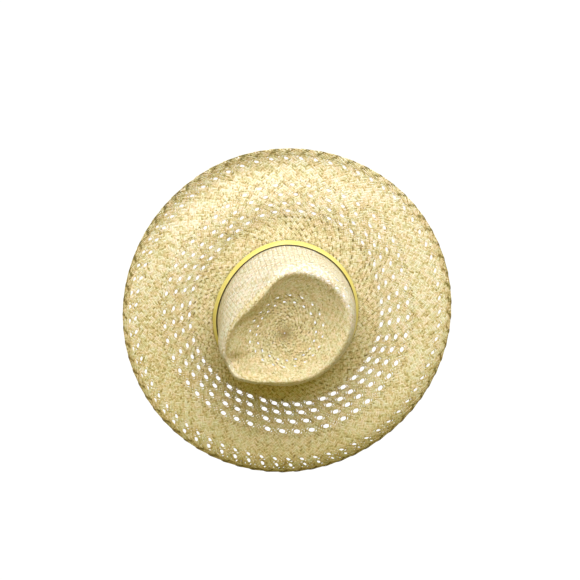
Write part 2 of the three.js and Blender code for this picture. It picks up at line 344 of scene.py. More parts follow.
@dataclass
class CrownForm:
    """The pinched teardrop crown, from the middle of the dent over the crest to the head line."""

    reach: float = 186.0  # distance given to the head line, counted from the middle of the dent
    step: float = 0.5
    wall_low: float = 28.0  # height up to which the wall rises straight from the head line
    wall_middle: float = 60.0
    wall_share: float = 0.45  # how much of its lean the wall has there
    shoulder: tuple[float, float] = (8.0, 17.0)  # out from the crest and down from its top
    lip: tuple[float, float] = (3.5, 4.0)  # the same, where the wall turns over
    ridge: float = 3.0  # how far inside the crest the top lies
    inner_lip: tuple[float, float] = (12.0, 9.0)  # in from the crest and down from its top
    slope: tuple[float, float] = (0.7, 0.42)  # shares of the crest's radius and of the dent's depth
    slope_foot: tuple[float, float] = (0.5, 3.0)  # share of the radius, and height over the dent's floor
    dent_edge: float = 0.27  # share of the radius that is level
    inset: float = 0.5  # how far inside the head line the lip stays
    overhang: float = 1.0  # how far outside it the shoulder may stand

    def cloth(self) -> Cloth:
        """Lays the crown's grid out.

        Returns:
            The crown as a cloth.
        """
        angle = Cloth.directions()
        line = smooth_line(self.section(angle), CURVE_STEPS)[:, ::-1, :]
        crest = around(CREST, "radius", np.degrees(angle) - CLEFT_ANGLE)[:, None]
        forward = DENT_CENTRE_Y * (1 - np.minimum(1, line[..., 0] / crest) ** 3)
        points = laid_round(angle, line[..., 0], line[..., 1])
        points[..., 1] += forward
        share = np.arange(int(round(self.reach / self.step)) + 1) * self.step / self.reach
        laid = np.array([
            [np.interp(share * length[-1], length, row[:, axis]) for axis in range(3)]
            for length, row in zip(lengths(points), points)
        ]).transpose(0, 2, 1)
        return Cloth(laid, 0.0, self.step)

    def section(self, angle: np.ndarray) -> np.ndarray:
        """Turning points of the upright section in each direction.

        Args:
            angle: Directions in radians.

        Returns:
            Array (directions, 11, 2) of distances from the middle and heights.
        """
        degrees = np.degrees(angle) - CLEFT_ANGLE
        foot = head_radius(angle)
        crest = around(CREST, "radius", degrees)
        top = around(CREST, "height", degrees)
        shoulder = np.minimum(crest + self.shoulder[0], foot + self.overhang)
        level = np.zeros_like(foot)
        rows = [
            (foot, level + HEAD_LINE_HEIGHT + GAP),
            (foot, level + self.wall_low),
            (foot + self.wall_share * (shoulder - foot), level + self.wall_middle),
            (shoulder, top - self.shoulder[1]),
            (np.minimum(crest + self.lip[0], foot - self.inset), top - self.lip[1]),
            (crest - self.ridge, top),
            (crest - self.inner_lip[0], top - self.inner_lip[1]),
            (crest * self.slope[0], DENT_FLOOR + self.slope[1] * (top - DENT_FLOOR)),
            (crest * self.slope_foot[0], level + DENT_FLOOR + self.slope_foot[1]),
            (crest * self.dent_edge, level + DENT_FLOOR),
            (level, level + DENT_FLOOR),
        ]
        return np.stack([np.stack(row, axis=1) for row in rows], axis=1)


# ---- Meshes ---------------------------------------------------------------------------------------
class Finish(Enum):
    """The record's material slots."""

    STRAW = "straw"
    LEATHER = "leather"


@dataclass
class Shape:
    """Vertices, faces of four corners and what the finishes read, ready to become one mesh."""

    points: np.ndarray
    faces: np.ndarray
    unwrap: np.ndarray | None = None  # one place on the baking map for each corner
    numbers: dict[str, np.ndarray] = field(default_factory=dict)
    vectors: dict[str, np.ndarray] = field(default_factory=dict)
    crease: np.ndarray | None = None  # vertices whose joining edges stay sharp

    def mesh(self, name: str) -> bpy.types.Mesh:
        """Makes the mesh.

        Args:
            name: The mesh's name.

        Returns:
            The mesh, in metres.
        """
        mesh = bpy.data.meshes.new(name)
        mesh.vertices.add(len(self.points))
        mesh.vertices.foreach_set("co", (self.points * MM).astype(np.float32).ravel())
        mesh.loops.add(self.faces.size)
        mesh.loops.foreach_set("vertex_index", self.faces.astype(np.int32).ravel())
        mesh.polygons.add(len(self.faces))
        mesh.polygons.foreach_set("loop_start", np.arange(0, self.faces.size, 4, dtype=np.int32))
        mesh.update(calc_edges=True)
        if self.unwrap is not None:
            layer = mesh.uv_layers.new(name="OFBake")
            layer.data.foreach_set("uv", self.unwrap.astype(np.float32).ravel())
        kinds = (("FLOAT", "value", self.numbers), ("FLOAT_VECTOR", "vector", self.vectors))
        for kind, key, table in kinds:
            for label, values in table.items():
                attribute = mesh.attributes.new(label, kind, "POINT")
                attribute.data.foreach_set(key, values.astype(np.float32).ravel())
        if self.crease is not None:
            ends = np.zeros(len(mesh.edges) * 2, np.int32)
            mesh.edges.foreach_get("vertices", ends)
            ends = self.crease[ends.reshape(-1, 2)]
            sharp = mesh.attributes.new("sharp_edge", "BOOLEAN", "EDGE")
            sharp.data.foreach_set("value", (ends[:, 0] > 0) & (ends[:, 0] == ends[:, 1]))
        return mesh


def joined(shapes: list[Shape]) -> Shape:
    """Puts several shapes with the same attributes into one.

    Args:
        shapes: The shapes.

    Returns:
        One shape.
    """
    starts = np.cumsum([0] + [len(shape.points) for shape in shapes[:-1]])
    first = shapes[0]

    def stacked(pick: Callable[[Shape], np.ndarray | None]) -> np.ndarray | None:
        """Stacks one array of every shape, if the first one has it."""
        return None if pick(first) is None else np.concatenate([pick(shape) for shape in shapes])

    return Shape(
        points=stacked(lambda shape: shape.points),
        faces=np.concatenate([shape.faces + start for shape, start in zip(shapes, starts)]),
        unwrap=stacked(lambda shape: shape.unwrap),
        numbers={key: stacked(lambda shape: shape.numbers[key]) for key in first.numbers},
        vectors={key: stacked(lambda shape: shape.vectors[key]) for key in first.vectors},
        crease=stacked(lambda shape: shape.crease),
    )


def place(shape: Shape, name: str, finish: Finish, material: bpy.types.Material,
          nodes: tuple[str, ...]) -> bpy.types.Object:
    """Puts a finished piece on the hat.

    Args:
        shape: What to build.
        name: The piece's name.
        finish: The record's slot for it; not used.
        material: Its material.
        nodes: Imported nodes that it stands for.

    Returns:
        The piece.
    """
    mesh = shape.mesh(name)
    mesh.materials.append(material)
    piece = bpy.data.objects.new(name, mesh)
    bpy.context.scene.collection.objects.link(piece)
    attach(piece, "root")
    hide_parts(*nodes)
    LOG.info("%s: %d faces", name, len(shape.faces))
    return piece


@dataclass(frozen=True)
class Unwrapping:
    """Lays strands out as parallel strips on the baking map."""

    total: int  # strips on the map
    lanes: int  # strips side by side in one row
    margin: float = 0.12  # share of a row left free
    inset: float = 0.02  # share of a strip left free at either end
    tip_along: tuple[float, ...] = (0.0, 0.002, 0.002, 0.0)  # the four corners of a strand's end
    tip_turned: tuple[float, ...] = (0.4, 0.4, 0.6, 0.6)

    def corners(self, strips: np.ndarray, along: np.ndarray, turned: np.ndarray) -> np.ndarray:
        """Finds places on the map.

        Args:
            strips: Which strip each corner belongs to.
            along: Share of the strip's length.
            turned: Share of the way round the strand.

        Returns:
            Places with a last axis of two.
        """
        rows = math.ceil(self.total / self.lanes)
        lane = strips % self.lanes
        row = strips // self.lanes
        across = (lane + self.inset + (1 - 2 * self.inset) * along) / self.lanes
        up = (row + self.margin / 2 + (1 - self.margin) * turned) / rows
        return np.stack([across, up], axis=-1)

    def tips(self, far: bool) -> np.ndarray:
        """Finds the places of all strands' ends, small patches at one end of their strips.

        Args:
            far: Whether these are the last ends rather than the first ones.

        Returns:
            Array (strands * 4, 2) of places.
        """
        strips = np.repeat(np.arange(self.total)[:, None], 4, axis=1)
        along = np.array([self.tip_along])
        turned = np.tile(self.tip_turned, (self.total, 1))
        return self.corners(strips, 1 - along if far else along, turned).reshape(-1, 2)


def ribbons(centres: np.ndarray, normals: np.ndarray, half_widths: np.ndarray,
            half_thickness: float, tones: np.ndarray) -> Shape:
    """Builds closed flat strands with four sides along their middle lines.

    Args:
        centres: Array (strands, samples, 3).
        normals: Unit normals of the cloth there.
        half_widths: Array (strands, samples).
        half_thickness: Half the straw's thickness at the middle of a strand.
        tones: Array (strands, samples) of how pale they are.

    Returns:
        All strands as one shape.
    """
    count, samples = centres.shape[:2]
    run = unit(np.gradient(centres, axis=1))
    side = unit(np.cross(normals, run))
    face = np.cross(run, side)
    wide = side * half_widths[..., None]
    thick = face * half_thickness
    corners = np.stack([centres - wide, centres + thick, centres + wide, centres - thick], axis=2)
    ids = np.arange(count * samples * 4).reshape(count, samples, 4)
    here, there = ids[:, :-1], ids[:, 1:]
    sides = np.stack([here, there, np.roll(there, -1, axis=2), np.roll(here, -1, axis=2)], axis=-1)
    starts = ids[:, 0, :]
    ends = ids[:, -1, ::-1]
    strip, step, corner = np.meshgrid(
        np.arange(count), np.arange(samples - 1), np.arange(4), indexing="ij"
    )
    unwrapping = Unwrapping(count, LANES)
    last = samples - 1
    map_sides = np.stack([
        unwrapping.corners(strip, (step + on) / last, (corner + over) / 4)
        for on, over in ((0, 0), (1, 0), (1, 1), (0, 1))
    ], axis=-2)
    along = np.repeat(lengths(centres)[..., None], 4, axis=2)
    across = np.stack([-half_widths, half_widths * 0, half_widths, half_widths * 0], axis=2)
    seed = np.broadcast_to((tones[:, :1] * GRAIN_SPREAD)[..., None], along.shape)
    crease = np.tile(np.array([1, 0, 2, 0], np.int8), count * samples)
    return Shape(
        points=corners.reshape(-1, 3),
        faces=np.concatenate([sides.reshape(-1, 4), starts, ends]),
        unwrap=np.concatenate([
            map_sides.reshape(-1, 2), unwrapping.tips(far=False), unwrapping.tips(far=True),
        ]),
        numbers={"tone": np.broadcast_to(tones[..., None], along.shape).reshape(-1)},
        vectors={"grain": np.stack([along, across, seed], axis=-1).reshape(-1, 3)},
        crease=crease,
    )


# ---- Weave ----------------------------------------------------------------------------------------
class Tension(NamedTuple):
    """A stretch of a row where its openings are pulled shut, or open if the amount is negative."""

    turn: float  # direction in degrees from +X
    spread: float  # degrees
    amount: float


@dataclass(frozen=True)
class OpeningRow:
    """One ring of openings, each held between four crossings of the strands."""

    ring: int
    count: int  # openings once round
    shift: int = 0  # strands that the first opening lies on
    half_along: float = 4.8  # towards the neighbouring openings
    half_across: float = 1.95
    slant: float = 0.3
    reach: float = 2.5  # how far the strands feel it, counted in its half sizes
    tensions: tuple[Tension, ...] = ()


@dataclass
class Weave:
    """Two families of strands that wind out from the middle in opposite ways."""

    INNER_PULL = ((97, 0), (126, 1), (163, 1), (201, 0))  # distances and shares of the pull there
    OUTER_PULL = ((163, 0), (201, 1), (210, 0.9), (BRIM_RADIUS, 0))
    LEAST_GAP = 0.05  # from an opening's middle, counted in its half sizes
    FULL_PUSH = 1.2  # up to here an opening pushes with full strength, counted in its half sizes
    NEIGHBOURS = 8  # rings over which a row of openings is felt
    NARROWEST = 0.6  # limits of the distance between strands, against the usual one
    WIDEST = 1.04

    cloth: Cloth
    strands: int
    start: float
    end: float
    fineness: int = 2  # samples from one crossing to the next
    openings: tuple[OpeningRow, ...] = ()
    steepness: float = 0.84  # a ring's width against half the distance between strands
    lift: float = 0.38  # how far a strand rises and falls at the crossings
    pulled: bool = False  # whether the brim's pulls act on it
    half_thickness: float = 0.34
    fill: float = 0.485  # half a strand's width against the distance between strands
    tuck: float = 0.0  # how far the first strands' ends lie below the cloth
    paired: float = 0.0  # how much darker every second strand is near the middle
    paired_until: tuple[float, float] = (122.0, 165.0)  # distances over which that fades
    paired_back: float = 0.4  # share of it on the family that winds back
    tones: tuple[np.ndarray, np.ndarray] | None = None

    def rings(self) -> np.ndarray:
        """Distances of the rings of crossings.

        Returns:
            Distances from the start past the end.
        """
        rings = [self.start]
        while rings[-1] < self.end:
            radius = self.cloth.girth(rings[-1]) / TURN
            rings.append(rings[-1] + self.steepness * math.pi * radius / self.strands)
        return np.array(rings)

    def opened(self, row: OpeningRow, rings: np.ndarray, index: np.ndarray,
               distance: np.ndarray) -> tuple[np.ndarray, np.ndarray]:
        """How far one row of openings pushes the strands aside.

        Args:
            row: The row of openings.
            rings: Distances of the rings.
            index: Directions of the samples, counted in strands.
            distance: Distances of the samples.

        Returns:
            Shifts of the directions, in strands, and of the distances, in millimetres.
        """
        centre = rings[row.ring]
        pitch = self.cloth.girth(centre) / self.strands
        first = row.ring / 2 + 0.5 + row.shift
        spread = self.strands / row.count
        nearest = np.round((index - first) / spread)
        away = np.full_like(index, self.strands)
        for step in (-1, 0, 1):
            other = index - first - np.round((nearest + step) * spread)
            away = np.where(np.abs(other) < np.abs(away), other, away)
        sideways = away * pitch
        outwards = distance - centre
        slanted = outwards - row.slant * sideways
        gap = np.hypot(sideways / row.half_along, slanted / row.half_across)
        gap = np.maximum(gap, self.LEAST_GAP)
        fade = eased(np.clip((row.reach - gap) / (row.reach - self.FULL_PUSH), 0, 1))
        pull = np.ones_like(index)
        for tension in row.tensions:
            hole = np.radians(tension.turn) - (index - away) * TURN / self.strands
            off = np.degrees(np.angle(np.exp(1j * hole))) / tension.spread
            pull = pull - tension.amount * np.exp(-(off ** 4))
        pull = np.maximum(pull, 0)
        push = (np.sqrt(gap**2 + pull**2) / gap - 1) * fade
        return sideways * push / pitch, slanted * push

    def pull(self, angle: np.ndarray, distance: np.ndarray) -> np.ndarray:
        """How far the brim's weave is pulled outwards.

        Args:
            angle: Directions in radians.
            distance: Distances from the middle.

        Returns:
            Shifts of the distances.
        """
        inner = np.interp(distance, *zip(*self.INNER_PULL))
        outer = np.interp(distance, *zip(*self.OUTER_PULL))
        degrees = np.degrees(angle)
        return inner * around(PULLS, "inner", degrees) + outer * around(PULLS, "outer", degrees)

    def family(self, sign: int, rings: np.ndarray, tones: np.ndarray, first: int, last: int) -> Shape:
        """Builds the strands that wind one way, between two rings.

        Args:
            sign: 1 or -1, the way they wind.
            rings: Distances of the rings.
            tones: One value for each strand.
            first: Ring at which they begin.
            last: Ring at which they end.

        Returns:
            The strands as one shape.
        """
        count = (last - first) * self.fineness + 1
        crossing = first + np.arange(count) / self.fineness
        index = np.arange(self.strands)[:, None] + sign * crossing[None, :] / 2
        distance = np.interp(crossing, np.arange(len(rings)), rings)
        distance = np.repeat(distance[None, :], self.strands, axis=0)
        around_shift = np.zeros_like(index)
        out_shift = np.zeros_like(index)
        for row in self.openings:
            if first - self.NEIGHBOURS <= row.ring <= last + self.NEIGHBOURS:
                more_around, more_out = self.opened(row, rings, index, distance)
                around_shift += more_around
                out_shift += more_out
        angle = (index + around_shift) * TURN / self.strands
        if self.pulled:
            out_shift += self.pull(angle, distance)
        centres, normals = self.cloth.at(angle, distance + out_shift)
        crossed = 2 * np.arange(self.strands)[:, None] + sign * crossing[None, :]
        over = math.sqrt(2) * np.cos(math.pi / 2 * (crossed - 0.5))
        rise = sign * self.lift * np.clip(over, -1, 1)
        rise = rise - self.tuck * np.clip(2 - crossing, 0, 1)[None, :]
        centres = centres + normals * rise[..., None]
        run = unit(np.gradient(centres, axis=1))
        gaps = []
        for step in (1, -1):
            apart = np.roll(centres, step, axis=0) - centres
            apart = apart - (apart * run).sum(axis=2, keepdims=True) * run
            gaps.append(np.linalg.norm(apart, axis=2))
        apart = np.minimum(*gaps)
        usual = np.median(apart, axis=0)[None, :]
        half = self.fill * np.clip(apart, self.NARROWEST * usual, self.WIDEST * usual)
        every_second = (np.arange(self.strands) % 2)[:, None] * (1.0 if sign > 0 else self.paired_back)
        near = np.interp(distance, self.paired_until, (1, 0))
        shade = tones[:, None] - self.paired * every_second * near
        return ribbons(centres, normals, half, self.half_thickness, shade)

    def shape(self, first: int = 0, last: int | None = None) -> Shape:
        """Builds both families between two rings, each on its own half of the baking map.

        Args:
            first: Ring at which the strands begin.
            last: Ring at which they end, or None for the last ring.

        Returns:
            The weave as one shape.
        """
        rings = self.rings()
        stop = len(rings) - 1 if last is None else last
        families = []
        for half, (sign, tones) in enumerate(zip((1, -1), self.tones)):
            family = self.family(sign, rings, tones, first, stop)
            family.unwrap = family.unwrap * np.array([1, 0.5]) + np.array([0, half / 2])
            families.append(family)
        return joined(families)


def straw_tones(generator: np.random.Generator, count: int) -> tuple[np.ndarray, np.ndarray]:
    """Picks how pale or golden each strand of two families is.

    Args:
        generator: Seeded source of chance.
        count: Strands in one family.

    Returns:
        Two arrays of values from 0 to 1.
    """
    return generator.random(count), generator.random(count)


# ---- Finishes -------------------------------------------------------------------------------------
class Nodes:
    """A short way to lay out a material's nodes."""

    def __init__(self, name: str) -> None:
        """Starts a material with one Principled shader.

        Args:
            name: The material's name.
        """
        self.material = bpy.data.materials.new(name)
        self.material.use_nodes = True
        self.tree = self.material.node_tree
        self.shader = self.tree.nodes["Principled BSDF"]

    def add(self, kind: str, **inputs: object) -> bpy.types.Node:
        """Adds a node and fills its inputs in.

        Args:
            kind: The node's type.
            **inputs: Values or sockets for inputs, named with underscores for spaces.

        Returns:
            The node.
        """
        node = self.tree.nodes.new(kind)
        for label, value in inputs.items():
            self.feed(node.inputs[label.replace("_", " ")], value)
        return node

    def feed(self, socket: bpy.types.NodeSocket, value: object) -> None:
        """Sets an input, or links a socket to it.

        Args:
            socket: The input.
            value: A value or a socket.
        """
        if isinstance(value, bpy.types.NodeSocket):
            self.tree.links.new(value, socket)
        else:
            socket.default_value = value

    def attribute(self, label: str) -> bpy.types.Node:
        """Adds a node that reads one of the mesh's attributes.

        Args:
            label: The attribute's name.

        Returns:
            The node.
        """
        node = self.tree.nodes.new("ShaderNodeAttribute")
        node.attribute_name = label
        return node

    def stretched(self, source: bpy.types.NodeSocket, scale: Triple) -> bpy.types.NodeSocket:
        """Scales a vector.

        Args:
            source: The vector.
            scale: Three factors.

        Returns:
            The scaled vector.
        """
        node = self.tree.nodes.new("ShaderNodeVectorMath")
        node.operation = "MULTIPLY"
        self.feed(node.inputs[0], source)
        node.inputs[1].default_value = scale
        return node.outputs[0]

    def ramp(self, source: bpy.types.NodeSocket, stops: Stops) -> bpy.types.NodeSocket:
        """Turns a value into a colour.

        Args:
            source: The value.
            stops: Pairs of a place and a colour.

        Returns:
            The colour.
        """
        node = self.tree.nodes.new("ShaderNodeValToRGB")
        self.feed(node.inputs[0], source)
        elements = node.color_ramp.elements
        while len(elements) < len(stops):
            elements.new(0.5)
        for element, (where, colour) in zip(elements, stops):
            element.position = where
            element.color = (*colour, 1)
        return node.outputs[0]

    def maths(self, operation: str, first: object, second: object = 0.0,
              third: object = 0.0) -> bpy.types.NodeSocket:
        """Works out one number.

        Args:
            operation: The sum to do.
            first: A value or socket.
            second: A value or socket.
            third: A value or socket, for the few sums that take three.

        Returns:
            The result.
        """
        node = self.tree.nodes.new("ShaderNodeMath")
        node.operation = operation
        for socket, value in zip(node.inputs, (first, second, third)):
            self.feed(socket, value)
        return node.outputs[0]

    def mixed(self, share: object, first: object, second: object,
              blend: str = "MIX") -> bpy.types.NodeSocket:
        """Mixes two colours.

        Args:
            share: How much of the second.
            first: A colour or socket.
            second: A colour or socket.
            blend: How they mix.

        Returns:
            The mixed colour.
        """
        node = self.tree.nodes.new("ShaderNodeMix")
        node.data_type = "RGBA"
        node.blend_type = blend
        self.feed(node.inputs[0], share)
        self.feed(node.inputs[6], first)
        self.feed(node.inputs[7], second)
        return node.outputs[2]

    def tinted(self, colour: object, tint: object, share: float = 1.0) -> bpy.types.NodeSocket:
        """Multiplies a colour by a tint, wholly or in part."""
        return self.mixed(share, colour, tint, "MULTIPLY")

    def noise(self, where: bpy.types.NodeSocket, scale: Triple, detail: float) -> bpy.types.NodeSocket:
        """Makes soft noise.

        Args:
            where: The place to look it up at.
            scale: Three factors for the place.
            detail: How many finer layers it has.

        Returns:
            The noise, from 0 to 1.
        """
        place = self.stretched(where, scale)
        return self.add("ShaderNodeTexNoise", Vector=place, Scale=1.0, Detail=detail).outputs["Fac"]

    def surface(self, colour: bpy.types.NodeSocket, roughness: float, height: bpy.types.NodeSocket,
                strength: float, depth: float) -> None:
        """Joins the colour and the fine relief to the shader.

        Args:
            colour: The surface's colour.
            roughness: Its roughness.
            height: Height of its relief, from 0 to 1.
            strength: Strength of the relief.
            depth: Depth of the relief in metres.
        """
        self.feed(self.shader.inputs["Base Color"], colour)
        self.feed(self.shader.inputs["Roughness"], roughness)
        bump = self.add("ShaderNodeBump", Strength=strength, Distance=depth, Height=height)
        self.feed(self.shader.inputs["Normal"], bump.outputs["Normal"])


@dataclass(frozen=True)
class StrawFinish:
    """Split straw: pale strands of several tones, with fibres along them."""

    name: str = "natural_straw"
    stops: Stops = (
        (0.0, (0.27, 0.21, 0.055)),
        (0.2, (0.50, 0.40, 0.135)),
        (0.42, (0.72, 0.60, 0.27)),
        (0.62, (0.86, 0.75, 0.42)),
        (0.84, (0.95, 0.88, 0.62)),
        (1.0, (0.90, 0.76, 0.50)),
    )
    middle: float = 0.38  # place among those colours of a strand whose tone is 0
    tone_share: float = 0.4
    patch_scale: Triple = (0.3, 0.4, 1.0)  # along a strand, across it, and from strand to strand
    patch_swing: float = 0.85  # how far a patch shifts the tone either way
    fibre_scale: Triple = (0.16, 3.0, 1.0)
    streaks: Stops = ((0.32, (0.55, 0.46, 0.26)), (0.6, WHITE))
    streak_share: float = 0.6
    groove_shade: Colour = (0.52, 0.42, 0.22)  # painted shade along the middle line where a strand's two halves meet
    groove_width: float = 0.45  # millimetres
    groove_shade_share: float = 0.85
    cast_scale: float = 130.0  # of the patches of greenish and rosy straw, for each metre
    casts: Stops = ((0.35, (0.93, 1.0, 0.90)), (0.65, (1.0, 0.95, 0.87)))
    painted_shade_side: float = -38.0  # direction from +X of the side away from the key lamp, where painted shade makes the straw darker and more golden
    golden: Stops = (  # painted shade: place across the hat, 0.5 in the middle, and tint, darker towards the side away from the lamp
        (0.08, WHITE),
        (0.5, (0.96, 0.95, 0.86)),
        (0.74, (0.93, 0.91, 0.76)),
        (0.92, (0.80, 0.77, 0.54)),
    )
    painted_shade_slope: float = 2.0  # places for each metre
    tint: Colour = (1.02, 1.03, 1.2)
    contrast: float = 1.0  # of the patches and fibres
    roughness: float = 0.5
    sheen: float = 0.42
    fibre: float = 0.3  # strength of the fibres' relief
    fibre_depth: float = 0.0002  # metres

    def material(self) -> bpy.types.Material:
        """Makes the material.

        Returns:
            The straw material.
        """
        nodes = Nodes(self.name)
        grain = nodes.attribute("grain").outputs["Vector"]
        here = nodes.tree.nodes.new("ShaderNodeTexCoord").outputs["Object"]
        fibres = nodes.noise(grain, self.fibre_scale, 3.0)
        colour = self.strand_colour(nodes, grain)
        colour = nodes.tinted(colour, nodes.ramp(fibres, self.streaks), self.streak_share * self.contrast)
        # painted shade along the middle of each strand
        colour = nodes.tinted(colour, self.groove_shade_tint(nodes, grain), self.groove_shade_share * self.contrast)
        spots = nodes.add("ShaderNodeTexNoise", Vector=here, Scale=self.cast_scale, Detail=1.0)
        colour = nodes.tinted(colour, nodes.ramp(spots.outputs["Fac"], self.casts))
        # painted shade: darker and more golden on the side away from the lamp
        colour = nodes.tinted(colour, self.painted_shade_tint(nodes, here))
        colour = nodes.tinted(colour, (*self.tint, 1))
        nodes.feed(nodes.shader.inputs["Specular IOR Level"], self.sheen)
        nodes.surface(colour, self.roughness, fibres, self.fibre, self.fibre_depth)
        return nodes.material

    def strand_colour(self, nodes: Nodes, grain: bpy.types.NodeSocket) -> bpy.types.NodeSocket:
        """Colours each strand by its tone, with patches along it.

        Args:
            nodes: The material's nodes.
            grain: Place along and across the strand.

        Returns:
            The colour.
        """
        tone = nodes.attribute("tone").outputs["Fac"]
        swing = self.patch_swing * self.contrast
        patches = nodes.noise(grain, self.patch_scale, 2.0)
        drift = nodes.maths("MULTIPLY_ADD", patches, 2 * swing, -swing)
        value = nodes.maths("ADD", nodes.maths("MULTIPLY", tone, self.tone_share), drift)
        return nodes.ramp(nodes.maths("ADD", value, self.middle), self.stops)

    def groove_shade_tint(self, nodes: Nodes, grain: bpy.types.NodeSocket) -> bpy.types.NodeSocket:
        """Paints shade along the middle line of each strand, where its two halves meet.

        Args:
            nodes: The material's nodes.
            grain: Place along and across the strand.

        Returns:
            The tint.
        """
        apart = nodes.tree.nodes.new("ShaderNodeSeparateXYZ")
        nodes.feed(apart.inputs[0], grain)
        away = nodes.maths("DIVIDE", nodes.maths("ABSOLUTE", apart.outputs["Y"]), self.groove_width)
        return nodes.ramp(away, ((0.0, self.groove_shade), (1.0, WHITE)))

    def painted_shade_tint(self, nodes: Nodes, here: bpy.types.NodeSocket) -> bpy.types.NodeSocket:
        """Paints shade on the straw: darker and more golden towards the side of the hat away from the key
        lamp.

        Args:
            nodes: The material's nodes.
            here: Place on the hat in metres.

        Returns:
            The tint.
        """
        side = math.radians(self.painted_shade_side)
        across = nodes.tree.nodes.new("ShaderNodeVectorMath")
        across.operation = "DOT_PRODUCT"
        nodes.feed(across.inputs[0], here)
        across.inputs[1].default_value = (
            self.painted_shade_slope * math.cos(side), self.painted_shade_slope * math.sin(side), 0,
        )
        return nodes.ramp(nodes.maths("ADD", across.outputs["Value"], 0.5), self.golden)


@dataclass(frozen=True)
class LeatherFinish:
    """Smooth yellow leather, dark along its cut edges and on its inner face."""

    name: str = "yellow_leather"
    faces: Stops = ((0.35, (0.72, 0.60, 0.12)), (0.7, (0.78, 0.68, 0.20)))  # plain and worn
    # dark colour of the cut edges and the inner face
    cut: Colour = (0.13, 0.09, 0.03)
    patch_scale: Triple = (0.05, 0.2, 0.2)
    pore_scale: Triple = (1.6, 1.6, 1.6)
    roughness: float = 0.42
    pores: float = 0.25  # strength of their relief
    pore_depth: float = 0.0001  # metres

    def material(self) -> bpy.types.Material:
        """Makes the material.

        Returns:
            The leather material.
        """
        nodes = Nodes(self.name)
        grain = nodes.attribute("grain").outputs["Vector"]
        colour = nodes.ramp(nodes.noise(grain, self.patch_scale, 4.0), self.faces)
        colour = nodes.mixed(nodes.attribute("cut_edge").outputs["Fac"], colour, (*self.cut, 1))
        pores = nodes.add(
            "ShaderNodeTexVoronoi", Vector=nodes.stretched(grain, self.pore_scale), Scale=1.0
        )
        nodes.surface(colour, self.roughness, pores.outputs["Distance"], self.pores, self.pore_depth)
        return nodes.material


# ---- The hat's sub-assemblies ---------------------------------------------------------------------
@dataclass
class Brim:
    """The brim: one weave from the head line out to the edge, with two belts of openings."""

    straw: bpy.types.Material
    seed: int = 11
    strands: int = 204
    start: float = 92.0
    end: float = 215.5
    belts: tuple[float, ...] = (122.5, 168.0)  # where the weave is split into pieces
    inner_rows: int = 4
    inner_start: float = 128.0
    inner_step: int = 6  # rings from one row of the inner belt to the next
    inner_count: int = 48
    tensions: tuple[Tension, ...] = (Tension(-20, 75, -0.28), Tension(110, 45, 0.1))
    outer_start: float = 203.0
    outer_rows: int = 2
    outer_step: int = 3
    outer_count: int = 68
    outer_half_along: float = 4.5
    outer_half_across: float = 1.85
    outer_growth: float = 0.35  # how much more the second row's openings measure across
    outer_slant: float = 0.5
    outer_reach: float = 2.0
    outer_tension: Tension = Tension(90, 100, 0.85)  # shuts the second row on one side
    paired: float = 0.65

    def opening_rows(self, rings: np.ndarray) -> tuple[OpeningRow, ...]:
        """Sets the rows of openings out.

        Args:
            rings: Distances of the weave's rings.

        Returns:
            The rows.
        """
        first = ring_at(rings, self.inner_start)
        rows = [
            OpeningRow(
                ring=first + self.inner_step * row, count=self.inner_count,
                shift=(1 - self.inner_step // 2) * row, tensions=self.tensions,
            )
            for row in range(self.inner_rows)
        ]
        outer = ring_at(rings, self.outer_start)
        rows += [
            OpeningRow(
                ring=outer + self.outer_step * row, count=self.outer_count,
                shift=-(self.outer_step // 2) * row, half_along=self.outer_half_along,
                half_across=self.outer_half_across + self.outer_growth * row,
                slant=self.outer_slant, reach=self.outer_reach,
                tensions=(self.outer_tension._replace(amount=self.outer_tension.amount * row),),
            )
            for row in range(self.outer_rows)
        ]
        return tuple(rows)

    def build(self, cloth: Cloth) -> None:
        """Builds the brim's pieces.

        Args:
            cloth: The brim's form.
        """
        tones = straw_tones(np.random.default_rng(self.seed), self.strands)
        weave = Weave(
            cloth, self.strands, self.start, self.end, tones=tones, pulled=True, paired=self.paired
        )
        rings = weave.rings()
        weave.openings = self.opening_rows(rings)
        cuts = [0] + [ring_at(rings, belt) for belt in self.belts] + [len(rings) - 1]
        names = ("brim_inner_weave", "brim_openwork", "brim_outer_weave")
        for name, first, last in zip(names, cuts[:-1], cuts[1:]):
            place(weave.shape(first, last), name, Finish.STRAW, self.straw, ("brim",))


